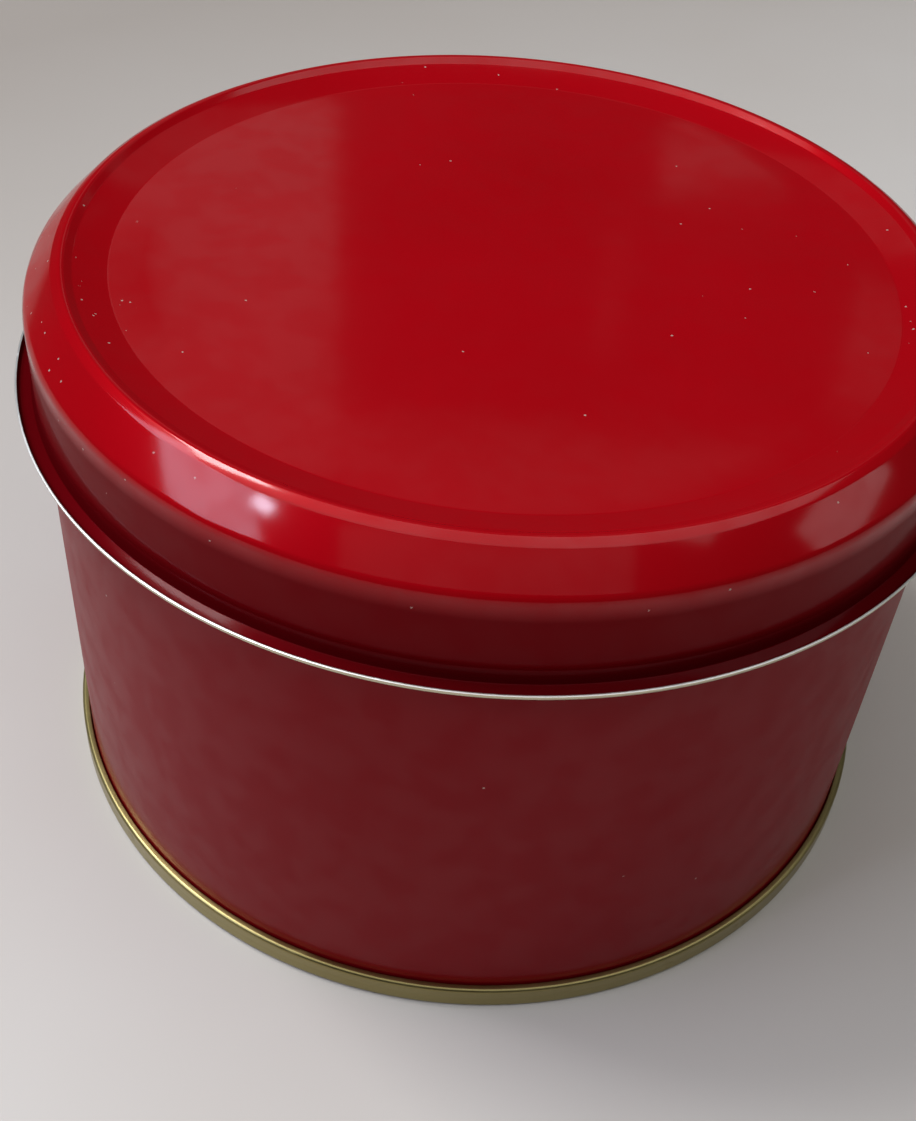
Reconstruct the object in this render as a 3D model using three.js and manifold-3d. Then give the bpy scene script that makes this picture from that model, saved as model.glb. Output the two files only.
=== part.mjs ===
// Round slip-lid tin used as a bobbin box, with a lift-out tray of bobbins inside it.
// Millimetres, +Z up. The origin is on the tin's axis, in the plane that the tin stands on.

import * as THREE from 'three';
import { mergeVertices } from 'three/addons/utils/BufferGeometryUtils.js';
import Module from 'manifold-3d';

const wasm = await Module();
wasm.setup();

// Tinplate, and how finely round pieces are faceted
const SHEET = 0.25;
const TIN_SIDES = 48;
const BOBBIN_SIDES = 16;
const PEG_SIDES = 12;

// Body: a straight rolled wall that ends in an inward curl under the lid
const WALL_RADIUS = 52.9;
const CURL_RADIUS = 0.9;
const CURL_HEIGHT = 64.9;

// Double seam that holds the bottom end to the wall
const SEAM_RADIUS = 54.0;
const SEAM_HEIGHT = 3.2;
const SEAM_CORNER = 0.4;
const SEAM_GAP = 0.1;
const HOOK_LENGTH = 1.75;
const HOOK_CORNER = 0.15;
const HOOK_GAP = 0.15;
const CHUCK_CORNER = 0.4;
const COMPOUND_THICKNESS = 0.2;

// Bottom end: recessed panel with a countersink and one stiffening bead
const PANEL_HEIGHT = 2.75;
const COUNTERSINK_HEIGHT = 3.65;
const COUNTERSINK_INNER = 49.8;
const BEAD_RADIUS = 42.75;
const BEAD_HALF_TOP = 0.75;
const BEAD_HEIGHT = 0.5;
const PANEL_FLANK = 1.0;

// Lid: sunk panel, raised ring, sloping shoulder, skirt and an outward curl with an open edge
const LID_TOP = 70.1;
const LID_PANEL_RADIUS = 44.2;
const LID_PANEL_HEIGHT = 68.25;
const RING_INNER = { radius: 47.9, height: 69.55 };
const RING_CREST = 48.85;
const RING_OUTER = { radius: 50.0, height: 69.5 };
const SHOULDER_FOOT = { radius: 52.6, height: 66.95 };
const SHOULDER_ROUND = { radius: 53.15, height: 66.3 };
const SKIRT_RADIUS = 53.4;
const SKIRT_TOP = 65.3;
const SKIRT_BOTTOM = 57.6;
const LID_CURL_CENTRE = { radius: 54.45, height: 56.9 };
const LID_CURL_RADIUS = 0.98;
const LID_CURL_START = 190;
const LID_CURL_END = 335;

// Support tube that stands on the tin's bottom and holds the tray up
const GAP = 0.3;
const TUBE_RADIUS = 51.4;
const TUBE_WALL = 1.8;

// Lift-out tray, with a peg for each bobbin and a finger post
const TRAY_RADIUS = 50.6;
const TRAY_WALL = 1.2;
const TRAY_FLOOR_TOP = 40.0;
const TRAY_FLOOR = 1.4;
const TRAY_TOP = 55.2;
const TRAY_RIM_RADIUS = 51.8;
const TRAY_RIM_THICKNESS = 0.8;
const TRAY_FILLET = 0.8;
const TRAY_FOOT_FILLET = 0.4;
const POST_TOP = 55.2;
const POST_NECK = 2.8;
const POST_KNOB = 5.5;
const KNOB_CORNER = 0.8;
const KNOB_SIDE = 1.4;
const KNOB_UNDERSIDE = 1.8;
const PEG_RADIUS = 2.6;
const PEG_TOP_RADIUS = 2.0;
const PEG_LENGTH = 10.0;
const PEG_TIP = 0.8;
const PEG_ROOT = 0.5;

// Bobbins: spools with a bore, a hub and two flanges, each wound with thread
const BOBBIN_COUNT = 10;
const BOBBIN_RING = 36.5;
const BOBBIN_RADIUS = 10.15;
const BOBBIN_HEIGHT = 11.7;
const BOBBIN_BORE = 3.05;
const BOBBIN_HUB = 4.1;
const BOBBIN_FLANGE = 0.9;
const THREAD_RADII = [9.0, 8.6, 8.0, 9.2, 8.6, 8.2, 8.9, 8.6, 8.6, 8.3];
const THREAD_CROWN = 0.35;

const LACQUER_RED = 0x9c0c14;
const LACQUER_GOLD = 0xa8985a;
const COMPOUND_GREY = 0x8d8d86;
const BOARD_BROWN = 0xa98a62;
const TRAY_WHITE = 0xe6e2d6;
const SPOOL_CLEAR = 0xd9dcd8;
const THREAD_COLOURS = [
  0xf2ead8, 0x16181c, 0x1d3f7a, 0xb3202c, 0xd9a521,
  0x2f7d4f, 0xd8748f, 0x6a3f87, 0x8c5a32, 0x3fa0b5,
];

// Shapes

function radians(degrees) {
  return degrees * Math.PI / 180;
}

// Points of a round arc in section, counted in degrees from straight outwards, +Z at 90.
function arc(centreRadius, centreHeight, radius, start, end, steps) {
  const points = [];
  for (let i = 0; i <= steps; i += 1) {
    const angle = radians(start + (end - start) * i / steps);
    points.push([centreRadius + radius * Math.cos(angle), centreHeight + radius * Math.sin(angle)]);
  }
  return points;
}

function leftNormal(from, to) {
  const length = Math.hypot(to[0] - from[0], to[1] - from[1]);
  return [-(to[1] - from[1]) / length, (to[0] - from[0]) / length];
}

// The point of the other face of a bent sheet, a mitred thickness to the left of the first face.
function acrossSheet(face, index, thickness) {
  const point = face[index];
  const before = leftNormal(face[Math.max(index - 1, 0)], face[Math.max(index, 1)]);
  const after = leftNormal(
    face[Math.min(index, face.length - 2)],
    face[Math.min(index + 1, face.length - 1)],
  );
  const mitre = thickness / (1 + before[0] * after[0] + before[1] * after[1]);
  return [point[0] + mitre * (before[0] + after[0]), point[1] + mitre * (before[1] + after[1])];
}

// Section of a pressed sheet: one face, then the other. It closes on itself away from the axis.
function sheetSection(face, thickness) {
  const otherFace = face.map((point, index) => acrossSheet(face, index, thickness)).reverse();
  const section = [...face, ...otherFace];
  return face[0][0] === 0 ? section : [...section, face[0]];
}

function signedVolume(position, index) {
  const a = new THREE.Vector3();
  const b = new THREE.Vector3();
  const c = new THREE.Vector3();
  let volume = 0;
  for (let i = 0; i < index.length; i += 3) {
    a.fromBufferAttribute(position, index[i]);
    b.fromBufferAttribute(position, index[i + 1]);
    c.fromBufferAttribute(position, index[i + 2]);
    volume += a.dot(b.cross(c)) / 6;
  }
  return volume;
}

// Merges shared vertices, drops triangles that collapsed on the axis, and faces the rest outwards.
function closedSolid(geometry) {
  const bare = geometry.clone();
  bare.deleteAttribute('normal');
  bare.deleteAttribute('uv');
  const merged = mergeVertices(bare, 1e-4);
  const source = merged.index.array;
  const index = [];
  for (let i = 0; i < source.length; i += 3) {
    const [a, b, c] = [source[i], source[i + 1], source[i + 2]];
    if (a !== b && b !== c && c !== a) index.push(a, b, c);
  }
  if (signedVolume(merged.attributes.position, index) < 0) index.reverse();
  merged.setIndex(index);
  return merged;
}

// A solid of revolution about +Z from [radius, height] points.
function revolve(section, sides) {
  const points = section.map(([radius, height]) => new THREE.Vector2(radius, height));
  const lathe = new THREE.LatheGeometry(points, sides);
  lathe.rotateX(Math.PI / 2);
  return closedSolid(lathe);
}

function toManifold(geometry) {
  const vertProperties = Float32Array.from(geometry.attributes.position.array);
  const triVerts = Uint32Array.from(geometry.index.array);
  return new wasm.Manifold(new wasm.Mesh({ numProp: 3, vertProperties, triVerts }));
}

function fromManifold(solid) {
  const mesh = solid.getMesh();
  const geometry = new THREE.BufferGeometry();
  geometry.setAttribute('position', new THREE.BufferAttribute(mesh.vertProperties, 3));
  geometry.setIndex(new THREE.BufferAttribute(mesh.triVerts, 1));
  return geometry;
}

// The tin

const SEAM_INNER = WALL_RADIUS - SHEET - SEAM_GAP - SHEET;
const BODY_HOOK = SEAM_RADIUS - SHEET - SEAM_GAP - SHEET;
const END_HOOK = WALL_RADIUS + HOOK_GAP;
const SEAM_FLOOR = SHEET + SEAM_GAP;

function bodyShell() {
  const hookBend = SEAM_FLOOR + SHEET;
  const face = [
    [BODY_HOOK, SEAM_FLOOR + HOOK_LENGTH],
    [BODY_HOOK, hookBend + HOOK_CORNER],
    [BODY_HOOK - HOOK_CORNER, hookBend],
    [WALL_RADIUS, hookBend],
    ...arc(WALL_RADIUS - CURL_RADIUS, CURL_HEIGHT, CURL_RADIUS, 0, 270, 6),
  ];
  return revolve(sheetSection(face, SHEET), TIN_SIDES);
}

function bottomEnd() {
  const beadFoot = BEAD_HALF_TOP + PANEL_FLANK;
  const face = [
    [0, PANEL_HEIGHT],
    [BEAD_RADIUS - beadFoot, PANEL_HEIGHT],
    [BEAD_RADIUS - BEAD_HALF_TOP, PANEL_HEIGHT + BEAD_HEIGHT],
    [BEAD_RADIUS + BEAD_HALF_TOP, PANEL_HEIGHT + BEAD_HEIGHT],
    [BEAD_RADIUS + beadFoot, PANEL_HEIGHT],
    [COUNTERSINK_INNER - PANEL_FLANK, PANEL_HEIGHT],
    [COUNTERSINK_INNER, COUNTERSINK_HEIGHT],
    [SEAM_INNER - CHUCK_CORNER, COUNTERSINK_HEIGHT],
    [SEAM_INNER, COUNTERSINK_HEIGHT - CHUCK_CORNER],
    [SEAM_INNER, 0],
    [SEAM_RADIUS - SEAM_CORNER, 0],
    [SEAM_RADIUS, SEAM_CORNER],
    [SEAM_RADIUS, SEAM_HEIGHT - SEAM_CORNER],
    [SEAM_RADIUS - SEAM_CORNER, SEAM_HEIGHT],
    [END_HOOK, SEAM_HEIGHT],
    [END_HOOK, SEAM_HEIGHT - HOOK_LENGTH],
  ];
  return revolve(sheetSection(face, SHEET), TIN_SIDES);
}

// The lining compound lies in the top of the seam, above the body's hook.
function seamCompound() {
  const bottom = SEAM_FLOOR + HOOK_LENGTH + SEAM_GAP;
  const top = SEAM_HEIGHT - SHEET - 2 * SEAM_GAP;
  const inner = BODY_HOOK;
  const outer = BODY_HOOK + COMPOUND_THICKNESS;
  const section = [[inner, bottom], [outer, bottom], [outer, top], [inner, top], [inner, bottom]];
  return revolve(section, TIN_SIDES);
}

function lid() {
  const { radius: curlRadius, height: curlHeight } = LID_CURL_CENTRE;
  const face = [
    [0, LID_PANEL_HEIGHT],
    [LID_PANEL_RADIUS, LID_PANEL_HEIGHT],
    [RING_INNER.radius, RING_INNER.height],
    [RING_CREST, LID_TOP],
    [RING_OUTER.radius, RING_OUTER.height],
    [SHOULDER_FOOT.radius, SHOULDER_FOOT.height],
    [SHOULDER_ROUND.radius, SHOULDER_ROUND.height],
    [SKIRT_RADIUS, SKIRT_TOP],
    [SKIRT_RADIUS, SKIRT_BOTTOM],
    ...arc(curlRadius, curlHeight, LID_CURL_RADIUS, LID_CURL_START, LID_CURL_END, 4),
  ];
  return revolve(sheetSection(face, -SHEET), TIN_SIDES);
}

// The support tube and the tray

function supportTube() {
  const bottom = COUNTERSINK_HEIGHT + SHEET + GAP;
  const top = TRAY_FLOOR_TOP - TRAY_FLOOR - GAP;
  const inner = TUBE_RADIUS - TUBE_WALL;
  const section = [
    [inner, bottom],
    [TUBE_RADIUS, bottom],
    [TUBE_RADIUS, top],
    [inner, top],
    [inner, bottom],
  ];
  return revolve(section, TIN_SIDES);
}

function trayShell() {
  const floorUnderside = TRAY_FLOOR_TOP - TRAY_FLOOR;
  const innerRadius = TRAY_RADIUS - TRAY_WALL;
  const knobEdge = POST_TOP - KNOB_CORNER - KNOB_SIDE;
  const section = [
    [0, floorUnderside],
    [TRAY_RADIUS - TRAY_FOOT_FILLET, floorUnderside],
    [TRAY_RADIUS, floorUnderside + TRAY_FOOT_FILLET],
    [TRAY_RADIUS, TRAY_TOP - TRAY_RIM_THICKNESS],
    [TRAY_RIM_RADIUS, TRAY_TOP - TRAY_RIM_THICKNESS],
    [TRAY_RIM_RADIUS, TRAY_TOP],
    [innerRadius, TRAY_TOP],
    [innerRadius, TRAY_FLOOR_TOP + TRAY_FILLET],
    [innerRadius - TRAY_FILLET, TRAY_FLOOR_TOP],
    [2 * POST_NECK, TRAY_FLOOR_TOP],
    [POST_NECK, TRAY_FLOOR_TOP + POST_NECK],
    [POST_NECK, knobEdge - KNOB_UNDERSIDE],
    [POST_KNOB, knobEdge],
    [POST_KNOB, POST_TOP - KNOB_CORNER],
    [POST_KNOB - KNOB_CORNER, POST_TOP],
    [0, POST_TOP],
  ];
  return revolve(section, TIN_SIDES);
}

function peg() {
  const section = [
    [0, -PEG_ROOT],
    [PEG_RADIUS, -PEG_ROOT],
    [PEG_RADIUS, PEG_LENGTH - PEG_TIP],
    [PEG_TOP_RADIUS, PEG_LENGTH],
    [0, PEG_LENGTH],
  ];
  return revolve(section, PEG_SIDES);
}

function pegPlace(index) {
  const angle = radians(360 * index / BOBBIN_COUNT);
  return new THREE.Vector3(BOBBIN_RING * Math.cos(angle), BOBBIN_RING * Math.sin(angle), TRAY_FLOOR_TOP);
}

function bobbinTray() {
  let tray = toManifold(trayShell());
  for (let i = 0; i < BOBBIN_COUNT; i += 1) {
    const place = pegPlace(i);
    const standing = peg().translate(place.x, place.y, place.z);
    tray = tray.add(toManifold(standing));
  }
  return fromManifold(tray);
}

// The bobbins

function spool() {
  const section = [
    [BOBBIN_BORE, 0],
    [BOBBIN_RADIUS, 0],
    [BOBBIN_RADIUS, BOBBIN_FLANGE],
    [BOBBIN_HUB, BOBBIN_FLANGE],
    [BOBBIN_HUB, BOBBIN_HEIGHT - BOBBIN_FLANGE],
    [BOBBIN_RADIUS, BOBBIN_HEIGHT - BOBBIN_FLANGE],
    [BOBBIN_RADIUS, BOBBIN_HEIGHT],
    [BOBBIN_BORE, BOBBIN_HEIGHT],
    [BOBBIN_BORE, 0],
  ];
  return revolve(section, BOBBIN_SIDES);
}

function woundThread(outerRadius) {
  const inner = BOBBIN_HUB + GAP;
  const bottom = BOBBIN_FLANGE + GAP;
  const top = BOBBIN_HEIGHT - BOBBIN_FLANGE - GAP;
  const section = [
    [inner, bottom],
    [outerRadius - THREAD_CROWN, bottom],
    [outerRadius, bottom + 2 * THREAD_CROWN],
    [outerRadius, top - 2 * THREAD_CROWN],
    [outerRadius - THREAD_CROWN, top],
    [inner, top],
    [inner, bottom],
  ];
  return revolve(section, BOBBIN_SIDES);
}

// Assembly

function addPart(parent, name, geometry, colour, roughness, metalness) {
  const material = new THREE.MeshStandardMaterial({ color: colour, roughness, metalness });
  const mesh = new THREE.Mesh(geometry, material);
  mesh.name = name;
  parent.add(mesh);
  return mesh;
}

const bobbinBox = new THREE.Group();

const tin = new THREE.Group();
addPart(tin, 'body_shell', bodyShell(), LACQUER_RED, 0.35, 0.2);
addPart(tin, 'bottom_end', bottomEnd(), LACQUER_GOLD, 0.35, 0.8);
addPart(tin, 'seam_compound', seamCompound(), COMPOUND_GREY, 0.8, 0.0);
addPart(tin, 'support_tube', supportTube(), BOARD_BROWN, 0.9, 0.0);
addPart(tin, 'lid', lid(), LACQUER_RED, 0.2, 0.2);
bobbinBox.add(tin);

const tray = new THREE.Group();
addPart(tray, 'bobbin_tray', bobbinTray(), TRAY_WHITE, 0.45, 0.0);
for (let i = 0; i < BOBBIN_COUNT; i += 1) {
  const bobbin = new THREE.Group();
  bobbin.position.copy(pegPlace(i));
  bobbin.position.z += GAP;
  const label = String(i + 1).padStart(2, '0');
  addPart(bobbin, `spool_${label}`, spool(), SPOOL_CLEAR, 0.3, 0.0);
  addPart(bobbin, `thread_${label}`, woundThread(THREAD_RADII[i]), THREAD_COLOURS[i], 0.8, 0.0);
  tray.add(bobbin);
}
bobbinBox.add(tray);

export default bobbinBox;
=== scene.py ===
"""Round slip-lid tin of red-lacquered tinplate, with a lift-out tray of sewing bobbins inside it.

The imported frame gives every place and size. Section outlines are in millimetres, and Blender's in metres.
"""

import math

import bpy
from mathutils import Matrix, Vector


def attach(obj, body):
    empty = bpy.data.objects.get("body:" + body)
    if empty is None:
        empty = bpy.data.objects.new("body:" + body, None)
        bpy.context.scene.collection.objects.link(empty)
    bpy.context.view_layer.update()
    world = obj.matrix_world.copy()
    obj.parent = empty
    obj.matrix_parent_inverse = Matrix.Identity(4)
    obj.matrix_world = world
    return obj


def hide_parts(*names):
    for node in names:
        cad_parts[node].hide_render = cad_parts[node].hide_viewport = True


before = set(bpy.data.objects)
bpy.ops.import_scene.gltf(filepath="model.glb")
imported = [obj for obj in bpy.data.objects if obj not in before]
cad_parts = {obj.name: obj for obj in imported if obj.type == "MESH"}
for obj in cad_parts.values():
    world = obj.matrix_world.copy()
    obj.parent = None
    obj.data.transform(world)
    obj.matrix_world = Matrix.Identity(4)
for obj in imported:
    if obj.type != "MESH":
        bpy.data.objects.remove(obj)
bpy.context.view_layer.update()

MM = 0.001
SHEET = 0.25
TIN_STEPS = 192
SPOOL_STEPS = 48
THREAD_STEPS = 40
PEG_STEPS = 32
ARC_STEP = math.radians(9)
LONGEST_STRETCH = 4.0


# Camera


def add_camera():
    data = bpy.data.cameras.new("camera")
    data.sensor_width = 36.0
    data.lens = 46.73
    data.clip_start = 0.01
    data.clip_end = 20.0
    camera = bpy.data.objects.new("camera", data)
    bpy.context.scene.collection.objects.link(camera)
    heading = Matrix.Rotation(math.radians(1.08), 4, "Z")
    pitch = Matrix.Rotation(math.radians(90 - 42.79), 4, "X")
    roll = Matrix.Rotation(math.radians(4.82), 4, "Z")
    place = Matrix.Translation((0, -0.1441, 0.1545))
    camera.matrix_world = place @ heading @ pitch @ roll
    bpy.context.scene.camera = camera


add_camera()


# Modelling helpers


def deselect_all():
    bpy.ops.object.select_all(action="DESELECT")


def pick(piece):
    deselect_all()
    piece.select_set(True)
    bpy.context.view_layer.objects.active = piece


def modify(piece, kind, **settings):
    """Adds a modifier and applies it."""
    pick(piece)
    modifier = piece.modifiers.new(kind.lower(), kind)
    for key, value in settings.items():
        setattr(modifier, key, value)
    bpy.ops.object.modifier_apply(modifier=modifier.name)


def settle(piece):
    """Moves the piece's place into its mesh and leaves its object at the origin."""
    pick(piece)
    bpy.ops.object.transform_apply(location=True, rotation=True, scale=True)


def smooth(piece, angle=35):
    pick(piece)
    bpy.ops.object.shade_smooth_by_angle(angle=math.radians(angle))


def rounded(corners, longest=LONGEST_STRETCH):
    """An outline from (radius, height, rounding) corners, with an arc at each rounded corner."""
    points = []
    for index, (radius, height, rounding) in enumerate(corners):
        here = Vector((radius, height))
        if rounding == 0:
            points.append(here)
            continue
        before = (Vector(corners[index - 1][:2]) - here).normalized()
        after = (Vector(corners[index + 1][:2]) - here).normalized()
        half = before.angle(after) / 2
        centre = here + (before + after).normalized() * (rounding / math.sin(half))
        start = here + before * (rounding / math.tan(half)) - centre
        turn = math.copysign(math.pi - 2 * half, -before.cross(after))
        steps = max(2, math.ceil(abs(turn) / ARC_STEP))
        for step in range(steps + 1):
            points.append(centre + Matrix.Rotation(turn * step / steps, 2) @ start)
    outline = [points[0]]
    for point in points[1:]:
        stretch = point - outline[-1]
        parts = max(1, math.ceil(stretch.length / longest))
        start = outline[-1]
        outline.extend(start + stretch * part / parts for part in range(1, parts + 1))
    return [tuple(point) for point in outline]


def arc(radius, height, rounding, start, end):
    """Points of an arc in section, in degrees from straight outwards."""
    steps = max(2, math.ceil(math.radians(abs(end - start)) / ARC_STEP))
    angles = [math.radians(start + (end - start) * step / steps) for step in range(steps + 1)]
    return [(radius + rounding * math.cos(a), height + rounding * math.sin(a)) for a in angles]


def turned(name, outline, steps):
    """A piece turned about +Z: a point is extruded along the outline, which is then spun."""
    deselect_all()
    radius, height = outline[0]
    bpy.ops.mesh.primitive_plane_add(size=MM, location=(radius * MM, 0, height * MM))
    piece = bpy.context.active_object
    piece.name = name
    piece.data.name = name
    bpy.ops.object.mode_set(mode="EDIT")
    bpy.ops.mesh.merge(type="CENTER")
    for (from_radius, from_height), (to_radius, to_height) in zip(outline, outline[1:]):
        move = ((to_radius - from_radius) * MM, 0, (to_height - from_height) * MM)
        bpy.ops.mesh.extrude_region_move(TRANSFORM_OT_translate={"value": move})
    bpy.ops.mesh.select_all(action="SELECT")
    bpy.ops.mesh.spin(steps=steps, angle=math.tau, center=(0, 0, 0), axis=(0, 0, 1))
    bpy.ops.mesh.select_all(action="SELECT")
    bpy.ops.mesh.remove_doubles(threshold=0.0008 * MM)
    bpy.ops.mesh.normals_make_consistent(inside=False)
    bpy.ops.object.mode_set(mode="OBJECT")
    settle(piece)
    return piece


def copied(piece, name, place):
    """A copy with its own mesh, moved to its place in millimetres."""
    twin = piece.copy()
    twin.data = piece.data.copy()
    twin.name = name
    twin.data.name = name
    bpy.context.scene.collection.objects.link(twin)
    twin.location = Vector(place) * MM
    settle(twin)
    return twin


def paint(piece, *materials):
    piece.data.materials.clear()
    for material in materials:
        piece.data.materials.append(material)


def hand_over(piece, body, node):
    """The piece rides on a body and stands for a CAD node, whose own mesh it hides."""
    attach(piece, body)
    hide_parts(node)


def turn_inside_out(piece):
    pick(piece)
    bpy.ops.object.mode_set(mode="EDIT")
    bpy.ops.mesh.select_all(action="SELECT")
    bpy.ops.mesh.flip_normals()
    bpy.ops.object.mode_set(mode="OBJECT")


def press_sheet(piece):
    """Gives a turned face its tinplate thickness, inwards, and eases the trimmed edges."""
    modify(piece, "SOLIDIFY", thickness=SHEET * MM, offset=-1, use_even_offset=True,
           material_offset=1, material_offset_rim=2)
    modify(piece, "BEVEL", width=0.05 * MM, segments=2, limit_method="ANGLE",
           angle_limit=math.radians(60), harden_normals=False)
    smooth(piece)


def buckle(piece, name, depth, size):
    """Very slight waves, as thin pressed sheet has."""
    waves = bpy.data.textures.new(name, "CLOUDS")
    waves.noise_scale = size * MM
    waves.noise_depth = 1
    modify(piece, "DISPLACE", texture=waves, texture_coords="LOCAL", direction="NORMAL",
           mid_level=0.5, strength=depth * MM)


# Material helpers


def put(tree, kind, sockets=None, **settings):
    """Adds a shader node, with its settings, and its sockets linked or set."""
    node = tree.nodes.new("ShaderNode" + kind)
    for key, value in settings.items():
        setattr(node, key, value)
    for key, value in (sockets or {}).items():
        if isinstance(value, bpy.types.NodeSocket):
            tree.links.new(value, node.inputs[key])
        else:
            node.inputs[key].default_value = value
    return node


def start_group(name, inputs, outputs):
    """A node group with named sockets. Returns the group and its inner ends."""
    group = bpy.data.node_groups.new(name, "ShaderNodeTree")
    for label, kind, value in inputs:
        socket = group.interface.new_socket(label, in_out="INPUT", socket_type="NodeSocket" + kind)
        if value is not None:
            socket.default_value = value
    for label, kind in outputs:
        group.interface.new_socket(label, in_out="OUTPUT", socket_type="NodeSocket" + kind)
    source = group.nodes.new("NodeGroupInput")
    sink = group.nodes.new("NodeGroupOutput")
    return group, source.outputs, sink.inputs


def use_group(tree, group, sockets):
    node = tree.nodes.new("ShaderNodeGroup")
    node.node_tree = group
    for key, value in sockets.items():
        if isinstance(value, bpy.types.NodeSocket):
            tree.links.new(value, node.inputs[key])
        else:
            node.inputs[key].default_value = value
    return node.outputs


def blend_colours(tree, factor, first, second):
    mix = put(tree, "Mix", {0: factor, 6: first, 7: second}, data_type="RGBA")
    return mix.outputs[2]


def new_material(name):
    material = bpy.data.materials.new(name)
    material.use_nodes = True
    tree = material.node_tree
    tree.nodes.clear()
    surface = tree.nodes.new("ShaderNodeBsdfPrincipled")
    output = tree.nodes.new("ShaderNodeOutputMaterial")
    tree.links.new(surface.outputs["BSDF"], output.inputs["Surface"])
    place = put(tree, "TexCoord").outputs["Object"]
    return material, tree, surface, place


def set_surface(surface, **values):
    """Sets constant values on the shader's own sockets."""
    for label, value in values.items():
        surface.inputs[label.replace("_", " ")].default_value = value


# Effects that several materials share


def make_dust_group():
    """Scattered specks: tiny uneven grains, kept in some cells only and gathered in drifts."""
    group, given, result = start_group(
        "dust_specks",
        [("Vector", "Vector", None), ("Cells", "Float", 900.0), ("Size", "Float", 0.14),
         ("Amount", "Float", 0.2)],
        [("Mask", "Float")],
    )
    drift = put(group, "TexNoise", {"Vector": given["Vector"], "Scale": 38.0, "Detail": 2.0})
    gather = put(group, "MapRange", {0: drift.outputs["Fac"], 1: 0.52, 2: 0.75, 3: 0.01, 4: 0.22})
    cells = put(group, "TexVoronoi", {"Vector": given["Vector"], "Scale": given["Cells"]})
    ragged = put(group, "TexNoise", {"Vector": given["Vector"], "Scale": 9000.0})
    reach = put(group, "Math", {0: ragged.outputs["Fac"], 1: given["Size"]}, operation="MULTIPLY")
    near = put(group, "Math", {0: cells.outputs["Distance"], 1: reach.outputs[0]},
               operation="LESS_THAN")
    chance = put(group, "SeparateColor", {0: cells.outputs["Color"]})
    keep = put(group, "Math", {0: gather.outputs[0], 1: given["Amount"]}, operation="MULTIPLY")
    kept = put(group, "Math", {0: chance.outputs[0], 1: keep.outputs[0]}, operation="LESS_THAN")
    both = put(group, "Math", {0: near.outputs[0], 1: kept.outputs[0]}, operation="MULTIPLY")
    group.links.new(both.outputs[0], result["Mask"])
    return group


def make_scuff_group():
    """Handling marks: long fine scratches over a soft cloud of rubbed lacquer."""
    group, given, result = start_group(
        "scuffs",
        [("Vector", "Vector", None), ("Stretch", "Vector", (1.0, 1.0, 1.0)),
         ("Cloud Scale", "Float", 30.0), ("Scratch Scale", "Float", 400.0)],
        [("Rub", "Float"), ("Scratch", "Float")],
    )
    cloud = put(group, "TexNoise", {"Vector": given["Vector"], "Scale": given["Cloud Scale"],
                                    "Detail": 3.0})
    stretched = put(group, "VectorMath", {0: given["Vector"], 1: given["Stretch"]},
                    operation="MULTIPLY")
    lines = put(group, "TexNoise", {"Vector": stretched.outputs[0], "Scale": given["Scratch Scale"],
                                    "Detail": 2.0})
    sharp = put(group, "MapRange", {0: lines.outputs["Fac"], 1: 0.62, 2: 0.72})
    group.links.new(cloud.outputs["Fac"], result["Rub"])
    group.links.new(sharp.outputs[0], result["Scratch"])
    return group


def make_skin_group():
    """The faint texture of a coated or moulded skin, as a height."""
    group, given, result = start_group(
        "coated_skin",
        [("Vector", "Vector", None), ("Scale", "Float", 900.0)],
        [("Height", "Float")],
    )
    fine = put(group, "TexNoise", {"Vector": given["Vector"], "Scale": given["Scale"], "Detail": 2.0})
    group.links.new(fine.outputs["Fac"], result["Height"])
    return group


DUST = make_dust_group()
SCUFFS = make_scuff_group()
SKIN = make_skin_group()


def bump_from(tree, height, strength, distance):
    bump = put(tree, "Bump", {"Strength": strength, "Distance": distance * MM, "Height": height})
    return bump.outputs["Normal"]


# Materials


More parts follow.
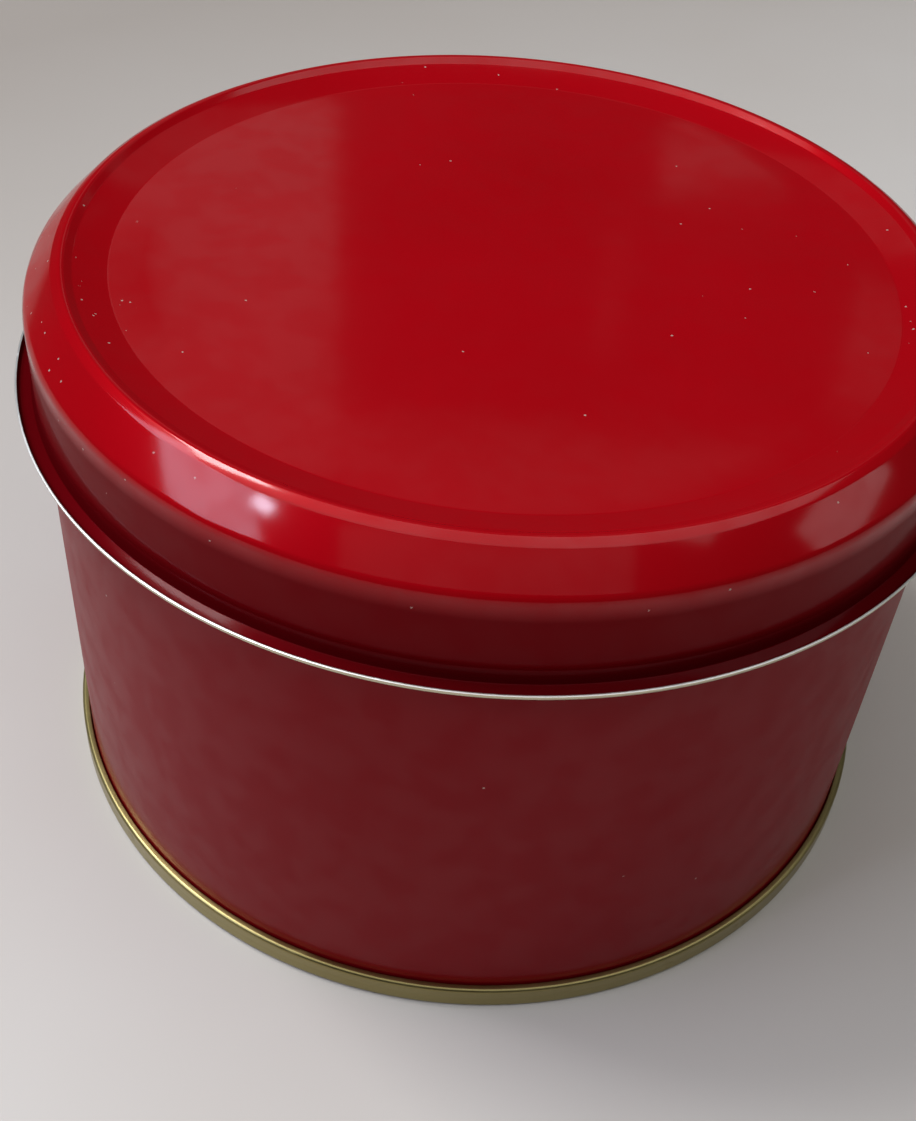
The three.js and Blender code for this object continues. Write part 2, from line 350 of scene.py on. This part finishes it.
def make_red_lacquer(name, red, rubbed, dust, roughness, coat, coat_roughness,
                     margin=False, drawn=False):
    """Transparent red lacquer over tinplate, under a clear varnish. With drawn set, painted shade darkens
    the skirt and the gutter of the curl.
    """
    material, tree, surface, place = new_material(name)
    scuffs = use_group(tree, SCUFFS, {"Vector": place, "Stretch": (1.0, 0.15, 1.0),
                                      "Cloud Scale": 28.0, "Scratch Scale": 500.0})
    outwards = put(tree, "VectorMath", {0: place}, operation="LENGTH")
    settled = put(tree, "MapRange", {0: outwards.outputs["Value"], 1: 78 * MM, 2: 84 * MM,
                                     3: dust * 0.5, 4: dust * 1.6})
    sparse = put(tree, "Math", {0: settled.outputs[0], 1: 0.25}, operation="MULTIPLY")
    fine = use_group(tree, DUST, {"Vector": place, "Cells": 1100.0, "Size": 0.26,
                                  "Amount": settled.outputs[0]})
    coarse = use_group(tree, DUST, {"Vector": place, "Cells": 450.0, "Size": 0.20,
                                    "Amount": sparse.outputs[0]})
    specks = put(tree, "Math", {0: fine["Mask"], 1: coarse["Mask"]}, operation="MAXIMUM")
    colour = blend_colours(tree, scuffs["Rub"], red, rubbed)
    if margin:
        colour = bare_margin(tree, place, colour)
    smears = use_group(tree, SKIN, {"Vector": place, "Scale": 240.0})
    varnish = put(tree, "MapRange", {0: smears["Height"], 1: 0.38, 2: 0.60, 3: coat * 0.75,
                                     4: coat}).outputs[0]
    if drawn:
        # painted shade on the skirt and in the gutter of the curl
        colour, varnish = paint_skirt_shade(tree, place, colour, varnish)
        colour = paint_gutter_shade(tree, place, colour, scuffs["Rub"])
    tree.links.new(varnish, surface.inputs["Coat Weight"])
    dusty = blend_colours(tree, specks.outputs[0], colour, (0.50, 0.34, 0.30, 1))
    tree.links.new(dusty, surface.inputs["Base Color"])
    matt = put(tree, "MapRange", {0: scuffs["Rub"], 1: 0.3, 2: 0.7, 3: roughness - 0.04,
                                  4: roughness + 0.05})
    worn = put(tree, "Math", {0: scuffs["Scratch"], 1: 0.06, 2: matt.outputs[0]},
               operation="MULTIPLY_ADD")
    tree.links.new(worn.outputs[0], surface.inputs["Roughness"])
    skin = use_group(tree, SKIN, {"Vector": place, "Scale": 420.0})
    raised = put(tree, "Math", {0: specks.outputs[0], 1: 2.0, 2: skin["Height"]},
                 operation="MULTIPLY_ADD")
    tree.links.new(bump_from(tree, raised.outputs[0], 0.22, 0.03), surface.inputs["Normal"])
    set_surface(surface, Metallic=0.2, Specular_IOR_Level=0.0, Coat_Roughness=coat_roughness,
                Coat_IOR=1.4)
    return material


def bare_margin(tree, place, colour):
    """The unprinted stripe along the welded side seam, which lies towards +Y."""
    axes = put(tree, "SeparateXYZ", {0: place})
    sideways = put(tree, "Math", {0: axes.outputs["X"]}, operation="ABSOLUTE")
    inside = put(tree, "MapRange", {0: sideways.outputs[0], 1: 2.9 * MM, 2: 3.05 * MM, 3: 1.0, 4: 0.0})
    behind = put(tree, "Math", {0: axes.outputs["Y"], 1: 0.0}, operation="GREATER_THAN")
    stripe = put(tree, "Math", {0: inside.outputs[0], 1: behind.outputs[0]}, operation="MULTIPLY")
    return blend_colours(tree, stripe.outputs[0], colour, (0.55, 0.53, 0.47, 1))


def paint_skirt_shade(tree, place, colour, varnish):
    """Painted shade on the upright skirt: darker lacquer below the shoulder, and little varnish left on it.
    """
    axes = put(tree, "SeparateXYZ", {0: place})
    depth = put(tree, "MapRange", {0: axes.outputs["Z"], 1: 63.6 * MM, 2: 66.0 * MM, 3: 1.0, 4: 0.0})
    left = put(tree, "MapRange", {0: depth.outputs[0], 1: 0.0, 2: 1.0, 3: 1.0, 4: 0.15})
    thinned = put(tree, "Math", {0: varnish, 1: left.outputs[0]}, operation="MULTIPLY")
    # painted shade: below the shoulder the skirt's red is blended towards a dark red
    shade = put(tree, "Math", {0: depth.outputs[0], 1: 0.8}, operation="MULTIPLY")
    deep = blend_colours(tree, shade.outputs[0], colour, (0.115, 0.0008, 0.003, 1))
    return deep, thinned.outputs[0]


def paint_gutter_shade(tree, place, colour, cloud):
    """Painted shade low on the lid's skirt, down in the curl: the lacquer is darkened there, unevenly."""
    axes = put(tree, "SeparateXYZ", {0: place})
    uneven = put(tree, "Math", {0: cloud, 1: 1.2 * MM, 2: axes.outputs["Z"]}, operation="MULTIPLY_ADD")
    depth = put(tree, "MapRange", {0: uneven.outputs[0], 1: 57.6 * MM, 2: 59.0 * MM, 3: 0.65, 4: 0.0})
    # painted shade: dark red blended into the gutter
    return blend_colours(tree, depth.outputs[0], colour, (0.06, 0.0006, 0.002, 1))


def make_tinplate(name, light, dark, roughness, stretch):
    """Bright or lacquered tinplate with the fine grain of rolled sheet."""
    material, tree, surface, place = new_material(name)
    scuffs = use_group(tree, SCUFFS, {"Vector": place, "Stretch": stretch, "Cloud Scale": 45.0,
                                      "Scratch Scale": 700.0})
    colour = blend_colours(tree, scuffs["Rub"], dark, light)
    tree.links.new(colour, surface.inputs["Base Color"])
    matt = put(tree, "MapRange", {0: scuffs["Rub"], 1: 0.3, 2: 0.7, 3: roughness - 0.06,
                                  4: roughness + 0.08})
    worn = put(tree, "Math", {0: scuffs["Scratch"], 1: 0.12, 2: matt.outputs[0]},
               operation="MULTIPLY_ADD")
    tree.links.new(worn.outputs[0], surface.inputs["Roughness"])
    tree.links.new(bump_from(tree, scuffs["Scratch"], 0.2, 0.01), surface.inputs["Normal"])
    set_surface(surface, Metallic=1.0)
    return material


def make_plastic(name, light, dark, roughness, clear):
    """Moulded plastic, opaque or clear, with a faint skin."""
    material, tree, surface, place = new_material(name)
    scuffs = use_group(tree, SCUFFS, {"Vector": place, "Stretch": (1.0, 0.3, 1.0),
                                      "Cloud Scale": 60.0, "Scratch Scale": 500.0})
    tree.links.new(blend_colours(tree, scuffs["Rub"], dark, light), surface.inputs["Base Color"])
    matt = put(tree, "MapRange", {0: scuffs["Rub"], 1: 0.3, 2: 0.7, 3: roughness - 0.04,
                                  4: roughness + 0.06})
    tree.links.new(matt.outputs[0], surface.inputs["Roughness"])
    skin = use_group(tree, SKIN, {"Vector": place, "Scale": 1200.0})
    tree.links.new(bump_from(tree, skin["Height"], 0.2, 0.02), surface.inputs["Normal"])
    set_surface(surface, Transmission_Weight=clear, IOR=1.49)
    return material


def make_thread(name, colour):
    """Polyester sewing thread: fine streaks round the winding and a soft sheen."""
    material, tree, surface, place = new_material(name)
    shade = tuple(channel * 0.55 for channel in colour[:3]) + (1,)
    strands = use_group(tree, SCUFFS, {"Vector": place, "Stretch": (0.6, 0.6, 9.0),
                                       "Cloud Scale": 140.0, "Scratch Scale": 900.0})
    tree.links.new(blend_colours(tree, strands["Rub"], shade, colour), surface.inputs["Base Color"])
    tree.links.new(bump_from(tree, strands["Scratch"], 0.5, 0.05), surface.inputs["Normal"])
    set_surface(surface, Roughness=0.55, Sheen_Weight=0.4, Sheen_Roughness=0.4)
    return material


def make_compound():
    """The seam's lining compound, a dull rubber."""
    material, tree, surface, place = new_material("lining_compound")
    skin = use_group(tree, SKIN, {"Vector": place, "Scale": 500.0})
    colour = blend_colours(tree, skin["Height"], (0.22, 0.22, 0.20, 1), (0.34, 0.34, 0.31, 1))
    tree.links.new(colour, surface.inputs["Base Color"])
    set_surface(surface, Roughness=0.85)
    return material


def make_board():
    """Kraft board, wound on a slant: the wrap's edges show as faint slanting lines."""
    material, tree, surface, place = new_material("wound_board")
    axes = put(tree, "SeparateXYZ", {0: place})
    around = put(tree, "Math", {0: axes.outputs["Y"], 1: axes.outputs["X"]}, operation="ARCTAN2")
    slant = put(tree, "Math", {0: around.outputs[0], 1: 1 / math.tau}, operation="MULTIPLY")
    rise = put(tree, "Math", {0: axes.outputs["Z"], 1: 1 / (22 * MM), 2: slant.outputs[0]},
               operation="MULTIPLY_ADD")
    turn = put(tree, "Math", {0: rise.outputs[0]}, operation="FRACT")
    wrap_edge = put(tree, "MapRange", {0: turn.outputs[0], 1: 0.0, 2: 0.03, 3: 1.0, 4: 0.0})
    fibres = use_group(tree, SCUFFS, {"Vector": place, "Stretch": (1.0, 1.0, 5.0),
                                      "Cloud Scale": 220.0, "Scratch Scale": 800.0})
    colour = blend_colours(tree, fibres["Rub"], (0.30, 0.19, 0.10, 1), (0.46, 0.32, 0.19, 1))
    lined = blend_colours(tree, wrap_edge.outputs[0], colour, (0.20, 0.125, 0.065, 1))
    tree.links.new(lined, surface.inputs["Base Color"])
    tree.links.new(bump_from(tree, fibres["Rub"], 0.4, 0.08), surface.inputs["Normal"])
    set_surface(surface, Roughness=0.9, Specular_IOR_Level=0.3)
    return material


def make_floor():
    """A pale stone floor with faint warm and cool clouds, and painted shade darkening it towards the back
    left.
    """
    material, tree, surface, place = new_material("pale_floor")
    clouds = use_group(tree, SCUFFS, {"Vector": place, "Stretch": (1.0, 1.0, 1.0),
                                      "Cloud Scale": 14.0, "Scratch Scale": 40.0})
    colour = blend_colours(tree, clouds["Rub"], (0.56, 0.52, 0.475, 1), (0.62, 0.60, 0.57, 1))
    # painted shade: the floor is blended darker towards the back left
    towards = put(tree, "VectorMath", {0: place, 1: (-0.7, 0.7, 0.0)}, operation="DOT_PRODUCT")
    far = put(tree, "MapRange", {0: towards.outputs["Value"], 1: 0.03, 2: 0.22, 3: 0.0, 4: 0.75})
    shaded_floor = blend_colours(tree, far.outputs[0], colour, (0.31, 0.27, 0.235, 1))
    tree.links.new(shaded_floor, surface.inputs["Base Color"])
    set_surface(surface, Roughness=0.45)
    return material


# The lid's red gets painted shade on its skirt and in its gutter.
LID_RED = make_red_lacquer("red_lacquer_lid", (0.345, 0.0004, 0.003, 1), (0.41, 0.0009, 0.006, 1),
                           0.5, 0.40, 1.0, 0.10, drawn=True)
# The body has the lid's lacquer; its red is set darker than the lid's as painted shade on its upright wall.
BODY_RED_SHADED = make_red_lacquer("red_lacquer_body_shaded", (0.205, 0.0010, 0.004, 1), (0.24, 0.0018, 0.007, 1),
                            0.15, 0.42, 0.35, 0.18, margin=True)
GOLD = make_tinplate("gold_lacquered_tinplate", (0.36, 0.31, 0.14, 1), (0.25, 0.20, 0.075, 1),
                     0.34, (0.1, 1.0, 1.0))
BARE_EDGE = make_tinplate("trimmed_edge", (0.92, 0.93, 0.92, 1), (0.66, 0.67, 0.65, 1),
                          0.38, (1.0, 1.0, 0.2))
INNER_LACQUER = make_tinplate("inner_lacquer", (0.66, 0.60, 0.44, 1), (0.50, 0.45, 0.31, 1),
                              0.26, (0.1, 1.0, 1.0))
TRAY_PLASTIC = make_plastic("tray_plastic", (0.84, 0.81, 0.74, 1), (0.74, 0.70, 0.62, 1), 0.42, 0.0)
SPOOL_PLASTIC = make_plastic("spool_plastic", (0.88, 0.91, 0.90, 1), (0.80, 0.84, 0.83, 1), 0.14, 0.7)


# The tin


LID_CORNERS = [
    (0, 68.25, 0),
    (44.2, 68.25, 0.9),
    (47.8, 69.45, 0.8),
    (48.9, 70.2, 0.8),
    (50.0, 69.6, 0.9),
    (53.4, 66.15, 1.8),
    (53.4, 57.5, 0.8),
    (53.75, 55.98, 0.12),
    (55.13, 55.58, 0.35),
    (55.27, 56.26, 0),
]


def make_lid():
    """One drawn sheet: sunk panel, raised ring, shoulder, skirt and an open outward curl."""
    lid = turned("lid_shell", rounded(LID_CORNERS), TIN_STEPS)
    turn_inside_out(lid)
    buckle(lid, "lid_waves", 0.05, 26.0)
    paint(lid, LID_RED, INNER_LACQUER, BARE_EDGE)
    press_sheet(lid)
    hand_over(lid, "lid", "lid")


def make_body():
    """One rolled sheet: the hook in the seam, the wall, and a curl that rolls inwards."""
    wall = [(53.4, 2.1, 0), (53.4, 0.6, 0.2), (52.9, 0.6, 0.05), (52.9, 64.9, 0)]
    body = turned("tin_body", rounded(wall) + arc(52.0, 64.9, 0.9, 9, 270), TIN_STEPS)
    buckle(body, "body_waves", 0.04, 30.0)
    paint(body, BODY_RED_SHADED, INNER_LACQUER, BARE_EDGE)
    press_sheet(body)
    hand_over(body, "tin", "body_shell")


def make_side_seam():
    """The welded overlap: a narrow raised stripe up the back of the wall."""
    deselect_all()
    bpy.ops.mesh.primitive_cube_add(size=1, location=(0, 52.92 * MM, 33.9 * MM))
    seam = bpy.context.active_object
    seam.name = "side_seam"
    seam.data.name = "side_seam"
    seam.scale = (0.7 * MM, 0.16 * MM, 60.5 * MM)
    settle(seam)
    bpy.ops.object.mode_set(mode="EDIT")
    bpy.ops.mesh.select_all(action="SELECT")
    bpy.ops.mesh.bevel(offset=0.05 * MM, segments=2)
    bpy.ops.object.mode_set(mode="OBJECT")
    paint(seam, BARE_EDGE)
    smooth(seam)
    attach(seam, "tin")


def make_bottom():
    """The stamped end: beaded panel, countersink and the double seam rolled over the body's hook."""
    corners = [
        (0, 2.75, 0),
        (30.0, 2.75, 0.5),
        (30.8, 3.15, 0.5),
        (32.2, 3.15, 0.5),
        (33.0, 2.75, 0.5),
        (41.0, 2.75, 0.5),
        (42.0, 3.25, 0.5),
        (43.5, 3.25, 0.5),
        (44.5, 2.75, 0.5),
        (48.8, 2.75, 0.6),
        (49.8, 3.65, 0.6),
        (52.3, 3.65, 0.4),
        (52.3, 0, 0.4),
        (54.0, 0, 0.5),
        (53.94, 1.7, 2.0),
        (54.0, 3.2, 0.45),
        (53.05, 3.2, 0.12),
        (53.05, 1.5, 0),
    ]
    end = turned("bottom_end_shell", rounded(corners), TIN_STEPS)
    paint(end, GOLD, INNER_LACQUER, BARE_EDGE)
    press_sheet(end)
    hand_over(end, "tin", "bottom_end")


make_lid()
make_body()
make_side_seam()
make_bottom()
paint(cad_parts["seam_compound"], make_compound())


# The tray and its bobbins


TRAY_FLOOR = 40.0
BOBBIN_COUNT = 10
BOBBIN_RING = 36.5
BOBBIN_HEIGHT = 11.7
BOBBIN_LIFT = 0.3
FLANGE = 0.9
FLANGE_RADIUS = 10.15
HUB = 4.1
BORE = 3.05
BORE_MIDDLE = 5.0
HOLE_COUNT = 6
HOLE_RADIUS = 1.15
HOLE_RING = 7.1
THREAD_GAP = 0.3


def make_support_tube():
    """A wound board tube with eased edges, which stands on the bottom and carries the tray."""
    corners = [
        (49.6, 20.0, 0),
        (49.6, 4.2, 0.3),
        (51.4, 4.2, 0.3),
        (51.4, 38.3, 0.3),
        (49.6, 38.3, 0.3),
        (49.6, 20.0, 0),
    ]
    tube = turned("wound_tube", rounded(corners, 8.0), TIN_STEPS // 2)
    paint(tube, make_board())
    smooth(tube)
    hand_over(tube, "tin", "support_tube")


def make_tray():
    """One moulding: a rimmed wall, a floor with a low rib, a finger post and the pegs."""
    corners = [
        (0, 38.6, 0),
        (50.6, 38.6, 0.4),
        (50.6, 54.4, 0.15),
        (51.8, 54.4, 0.2),
        (51.8, 55.2, 0.3),
        (49.4, 55.2, 0.3),
        (49.4, 40.0, 1.2),
        (23.6, 40.0, 0.3),
        (23.4, 40.7, 0.2),
        (22.4, 40.7, 0.2),
        (22.2, 40.0, 0.3),
        (3.2, 40.0, 2.2),
        (2.5, 51.4, 2.5),
        (5.5, 53.0, 0.9),
        (5.5, 55.2, 0.9),
        (0, 55.2, 0),
    ]
    tray = turned("tray_moulding", rounded(corners), TIN_STEPS // 2)
    peg_corners = [
        (0, 39.5, 0),
        (3.6, 39.5, 0),
        (3.3, 40.05, 0.2),
        (2.6, 40.5, 0.4),
        (2.6, 49.3, 0.8),
        (1.9, 50.0, 0.4),
        (0, 50.0, 0),
    ]
    pegs = turned("tray_pegs", rounded(peg_corners), PEG_STEPS)
    pegs.location = (BOBBIN_RING * MM, 0, 0)
    settle(pegs)
    bpy.ops.object.mode_set(mode="EDIT")
    bpy.ops.mesh.select_all(action="SELECT")
    bpy.ops.mesh.spin(steps=BOBBIN_COUNT, angle=math.tau, center=(0, 0, 0), axis=(0, 0, 1), dupli=True)
    bpy.ops.mesh.select_all(action="SELECT")
    bpy.ops.mesh.remove_doubles(threshold=0.001 * MM)
    bpy.ops.mesh.normals_make_consistent(inside=False)
    bpy.ops.object.mode_set(mode="OBJECT")
    modify(tray, "BOOLEAN", operation="UNION", object=pegs, solver="EXACT")
    bpy.data.objects.remove(pegs)
    paint(tray, TRAY_PLASTIC)
    smooth(tray)
    hand_over(tray, "tray", "bobbin_tray")


def make_spool():
    """A clear spool with rounded flanges, six holes in each, and a bored hub."""
    top = BOBBIN_HEIGHT
    corners = [
        (BORE, BORE_MIDDLE, 0),
        (BORE, 0, 0.2),
        (FLANGE_RADIUS, 0, 0.3),
        (FLANGE_RADIUS, FLANGE, 0.3),
        (HUB, FLANGE, 0.3),
        (HUB, top - FLANGE, 0.3),
        (FLANGE_RADIUS, top - FLANGE, 0.3),
        (FLANGE_RADIUS, top, 0.3),
        (BORE, top, 0.2),
        (BORE, BORE_MIDDLE, 0),
    ]
    spool = turned("spool_master", rounded(corners), SPOOL_STEPS)
    deselect_all()
    bpy.ops.mesh.primitive_cylinder_add(vertices=24, radius=HOLE_RADIUS * MM, depth=30 * MM,
                                        location=(HOLE_RING * MM, 0, BORE_MIDDLE * MM))
    drills = bpy.context.active_object
    settle(drills)
    bpy.ops.object.mode_set(mode="EDIT")
    bpy.ops.mesh.select_all(action="SELECT")
    bpy.ops.mesh.spin(steps=HOLE_COUNT, angle=math.tau, center=(0, 0, 0), axis=(0, 0, 1), dupli=True)
    bpy.ops.mesh.select_all(action="SELECT")
    bpy.ops.mesh.remove_doubles(threshold=0.001 * MM)
    bpy.ops.mesh.normals_make_consistent(inside=False)
    bpy.ops.object.mode_set(mode="OBJECT")
    modify(spool, "BOOLEAN", operation="DIFFERENCE", object=drills, solver="EXACT")
    bpy.data.objects.remove(drills)
    paint(spool, SPOOL_PLASTIC)
    smooth(spool)
    return spool


def wound_outline(outer, pitch=0.27, ridge=0.07):
    """Section of a wound thread: a ridge for each turn over a slightly crowned pack."""
    bottom = FLANGE + THREAD_GAP
    top = BOBBIN_HEIGHT - FLANGE - THREAD_GAP
    inner = HUB + THREAD_GAP
    turns = round((top - bottom) / pitch)
    points = [(inner, bottom)]
    for index in range(3 * turns + 1):
        share = index / (3 * turns)
        edge = min(share, 1 - share) * (top - bottom)
        ease = max(0.0, 1 - edge / 0.9) ** 2
        crest = ridge if index % 3 else 0.0
        points.append((outer - 0.35 * ease - ridge + crest, bottom + share * (top - bottom)))
    points += [(inner, top), (inner, bottom)]
    return points


THREADS = [
    (9.0, "cream", (0.86, 0.78, 0.62, 1)),
    (8.6, "black", (0.012, 0.013, 0.016, 1)),
    (8.0, "navy", (0.012, 0.045, 0.19, 1)),
    (9.2, "scarlet", (0.50, 0.012, 0.022, 1)),
    (8.6, "gold", (0.70, 0.37, 0.02, 1)),
    (8.2, "green", (0.028, 0.21, 0.075, 1)),
    (8.9, "pink", (0.68, 0.17, 0.27, 1)),
    (8.6, "violet", (0.145, 0.05, 0.25, 1)),
    (8.6, "brown", (0.26, 0.10, 0.035, 1)),
    (8.3, "teal", (0.05, 0.35, 0.46, 1)),
]


def make_bobbins():
    """A spool and a winding on every peg."""
    spool = make_spool()
    for index, (outer, hue, colour) in enumerate(THREADS):
        label = f"{index + 1:02d}"
        angle = math.tau * index / BOBBIN_COUNT
        place = (BOBBIN_RING * math.cos(angle), BOBBIN_RING * math.sin(angle),
                 TRAY_FLOOR + BOBBIN_LIFT)
        body = f"bobbin_{label}"
        holder = copied(spool, f"bobbin_spool_{label}", place)
        hand_over(holder, body, f"spool_{label}")
        winding = turned(f"winding_master_{label}", wound_outline(outer), THREAD_STEPS)
        paint(winding, make_thread(f"thread_{hue}", colour))
        smooth(winding, 60)
        wound = copied(winding, f"bobbin_thread_{label}", place)
        bpy.data.objects.remove(winding)
        hand_over(wound, body, f"thread_{label}")
    bpy.data.objects.remove(spool)


make_support_tube()
make_tray()
make_bobbins()


# Floor and lights


DAYLIGHT = (0.74, 0.80, 1.0)
LIT_POINT = Vector((0, 0, 0.068))
BACK_WALL = 1.5


def add_floor():
    deselect_all()
    bpy.ops.mesh.primitive_plane_add(size=6, location=(0, 0, 0))
    floor = bpy.context.active_object
    floor.name = "floor"
    paint(floor, make_floor())


def add_area_light(name, width, height, radiance, tint=(1, 1, 1)):
    data = bpy.data.lights.new(name, "AREA")
    data.shape = "RECTANGLE"
    data.size = width
    data.size_y = height
    data.energy = radiance * math.pi * width * height
    data.color = tint
    light = bpy.data.objects.new(name, data)
    bpy.context.scene.collection.objects.link(light)
    return light


def add_softbox(name, azimuth, elevation, distance, width, height, radiance, tilt=0,
                tint=(1, 1, 1)):
    """A light that faces the lid. Azimuth is in degrees from +Y towards +X."""
    light = add_area_light(name, width, height, radiance, tint)
    around = math.radians(azimuth)
    up = math.radians(elevation)
    towards = Vector((math.sin(around) * math.cos(up), math.cos(around) * math.cos(up), math.sin(up)))
    turn = Matrix.Rotation(math.radians(tilt), 3, "Z")
    facing = towards.to_track_quat("Z", "Y").to_matrix() @ turn
    light.matrix_world = Matrix.Translation(LIT_POINT + towards * distance) @ facing.to_4x4()


def add_wall_light(name, x, z, width, height, radiance, tilt=0):
    """An upright light on the wall behind the tin, which the lid mirrors."""
    light = add_area_light(name, width, height, radiance)
    upright = Matrix.Rotation(math.radians(90), 4, "X") @ Matrix.Rotation(math.radians(180), 4, "Y")
    turn = Matrix.Rotation(math.radians(tilt), 4, "Z")
    light.matrix_world = Matrix.Translation((x, BACK_WALL, z)) @ upright @ turn


def add_world():
    world = bpy.data.worlds.new("studio")
    world.use_nodes = True
    background = world.node_tree.nodes["Background"]
    background.inputs["Color"].default_value = (1.0, 0.97, 0.94, 1)
    background.inputs["Strength"].default_value = 0.03
    bpy.context.scene.world = world


add_floor()
add_world()
add_softbox("key", -72, 58, 1.6, 0.46, 0.34, 25.5)
add_softbox("overhead", 180, 86, 1.5, 3.0, 1.7, 1.1)
add_softbox("front_room", 178, 45, 1.5, 1.5, 0.4, 0.25)
add_softbox("window", -103, 37, 1.4, 1.12, 0.44, 5.6, tilt=-24, tint=DAYLIGHT)
add_softbox("lamp", -125, 39, 1.4, 0.10, 0.07, 34.0, tint=DAYLIGHT)
add_softbox("room_right", 92, 24, 1.5, 0.6, 0.3, 1.3)
add_wall_light("doorway", -0.345, 1.02, 0.245, 0.60, 0.25)
add_wall_light("ceiling", 0.05, 1.57, 1.6, 0.66, 0.15)
add_wall_light("shelf", 0.25, 0.80, 0.16, 0.06, 0.20, tilt=16)
add_wall_light("curtain", 0.53, 1.04, 0.14, 0.28, 0.13)
add_wall_light("gap", 0.14, 1.0, 0.04, 0.2, 0.04)

bpy.context.scene.view_settings.view_transform = "Standard"
